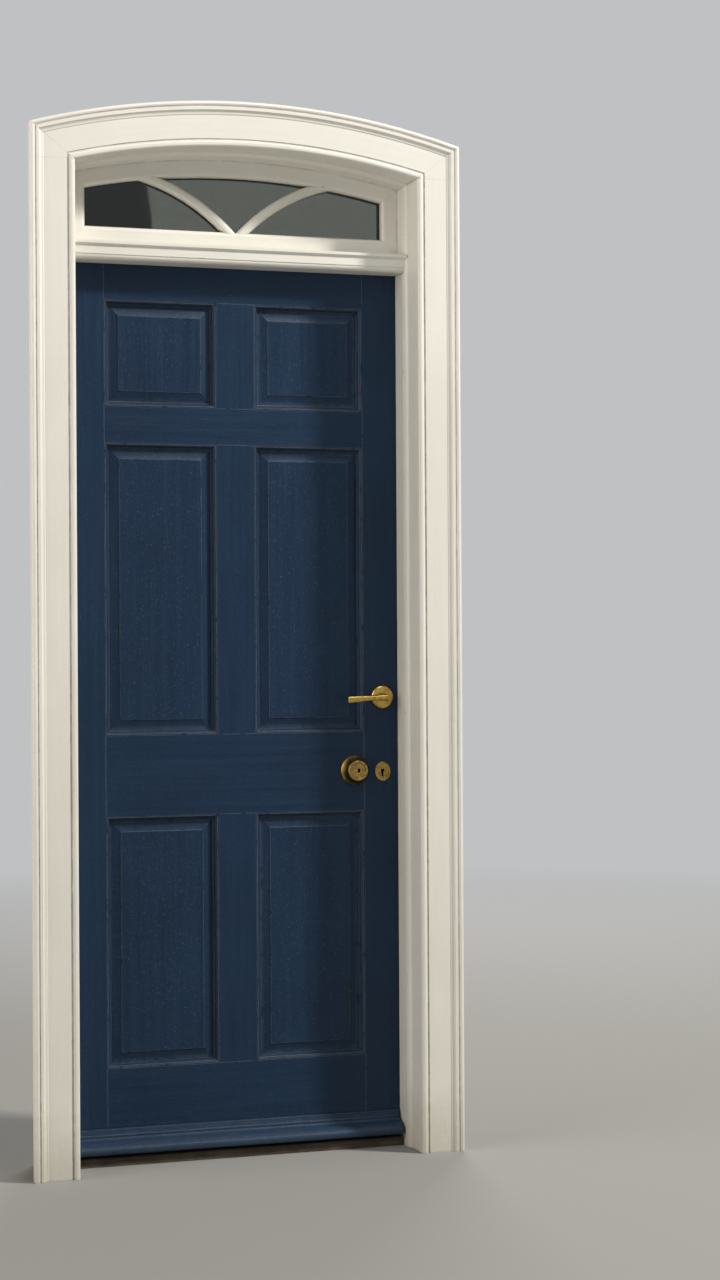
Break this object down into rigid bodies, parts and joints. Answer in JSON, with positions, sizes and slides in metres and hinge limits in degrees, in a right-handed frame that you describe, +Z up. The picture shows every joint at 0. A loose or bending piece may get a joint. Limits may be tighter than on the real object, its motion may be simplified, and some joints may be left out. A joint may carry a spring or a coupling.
{
  "type": "panelled front door with frame",
  "caption": "Painted panelled front door, hung in a moulded frame with an arched glazed fanlight, a lever handle and locks.",
  "frame": {"origin": "middle of the threshold's underside, on the plane of the leaf's outer face", "axes": "+X to the right seen from outside, +Y into the building, +Z up"},
  "size_m": [0.9824, 0.241, 2.3479],
  "materials": {
    "door_paint": "navy satin gloss paint, brushed, worn at the arrises",
    "frame_paint": "off-white satin paint over old timber",
    "aged_brass": "aged polished brass",
    "lock_steel": "plain steel",
    "lock_enamel": "black enamel on iron",
    "pane_glass": "clear old glass",
    "threshold_wood": "dark weathered hardwood"
  },
  "bodies": {
    "frame": {"left_jamb": "frame_paint", "right_jamb": "frame_paint", "arched_head": "frame_paint", "transom": "frame_paint", "threshold": "threshold_wood", "left_lining": "frame_paint", "right_lining": "frame_paint", "arched_lining": "frame_paint", "left_casing": "frame_paint", "right_casing": "frame_paint", "arched_casing": "frame_paint", "sash_bottom_rail": "frame_paint", "sash_left_stile": "frame_paint", "sash_right_stile": "frame_paint", "sash_arched_rail": "frame_paint", "fan_left_bar": "frame_paint", "fan_right_bar": "frame_paint", "fan_panes": "pane_glass", "glazing_beads": "frame_paint", "frame_hinge_leaves": "aged_brass", "hinge_pins": "aged_brass", "latch_strike": "aged_brass", "deadlock_strike": "aged_brass", "rim_keep": "lock_enamel"},
    "leaf": {"hinge_stile": "door_paint", "lock_stile": "door_paint", "top_rail": "door_paint", "frieze_rail": "door_paint", "lock_rail": "door_paint", "bottom_rail": "door_paint", "low_muntin": "door_paint", "middle_muntin": "door_paint", "high_muntin": "door_paint", "low_left_panel": "door_paint", "low_right_panel": "door_paint", "middle_left_panel": "door_paint", "middle_right_panel": "door_paint", "high_left_panel": "door_paint", "high_right_panel": "door_paint", "outer_mouldings": "door_paint", "inner_mouldings": "door_paint", "weatherboard": "door_paint", "door_hinge_leaves": "aged_brass", "latch_case": "lock_steel", "deadlock_case": "lock_steel", "rim_case": "lock_enamel", "rim_cylinder": "aged_brass", "cylinder_collar": "aged_brass", "escutcheon": "aged_brass", "outer_rose": "aged_brass", "inner_rose": "aged_brass"},
    "lever": {"outer_lever": "aged_brass", "inner_lever": "aged_brass", "spindle": "lock_steel"},
    "latch_draw": {"latch_draw": "lock_steel"},
    "latch_bolt": {"latch_bolt": "aged_brass"},
    "deadbolt": {"deadbolt": "aged_brass"},
    "rim_knob": {"rim_knob": "aged_brass"},
    "rim_bolt": {"rim_bolt": "aged_brass"},
    "cylinder_plug": {"cylinder_plug": "aged_brass"}
  },
  "joints": [
    {"name": "leaf_swing", "type": "hinge", "parent": "frame", "child": "leaf", "pos_m": [-0.3955, 0.0505, 1.056], "axis": [0, 0, 1], "range_deg": [0, 105]},
    {"name": "lever_turn", "type": "hinge", "parent": "leaf", "child": "lever", "pos_m": [0.346, 0, 1.029], "axis": [0, -1, 0], "range_deg": [0, 40], "stiffness_Nm_per_rad": 1.5, "springref_deg": -20.05},
    {"name": "latch_draw_slide", "type": "slide", "parent": "leaf", "child": "latch_draw", "axis": [-1, 0, 0], "range_m": [0, 0.01]},
    {"name": "latch_bolt_slide", "type": "slide", "parent": "leaf", "child": "latch_bolt", "axis": [-1, 0, 0], "range_m": [-0.01, 0]},
    {"name": "deadbolt_slide", "type": "slide", "parent": "leaf", "child": "deadbolt", "axis": [1, 0, 0], "range_m": [0, 0.016]},
    {"name": "rim_knob_turn", "type": "hinge", "parent": "leaf", "child": "rim_knob", "pos_m": [0.279, 0.08, 0.862], "axis": [0, 1, 0], "range_deg": [0, 90]},
    {"name": "rim_bolt_slide", "type": "slide", "parent": "leaf", "child": "rim_bolt", "axis": [1, 0, 0], "range_m": [0, 0.016]},
    {"name": "cylinder_turn", "type": "hinge", "parent": "leaf", "child": "cylinder_plug", "pos_m": [0.279, 0, 0.862], "axis": [0, 1, 0], "range_deg": [-90, 90]}
  ],
  "couplings": [
    {"joint": "latch_draw_slide", "follows": "lever_turn", "m_per_rad": 0.014323},
    {"joint": "rim_knob_turn", "follows": "rim_bolt_slide", "rad_per_m": 98.165}
  ]
}
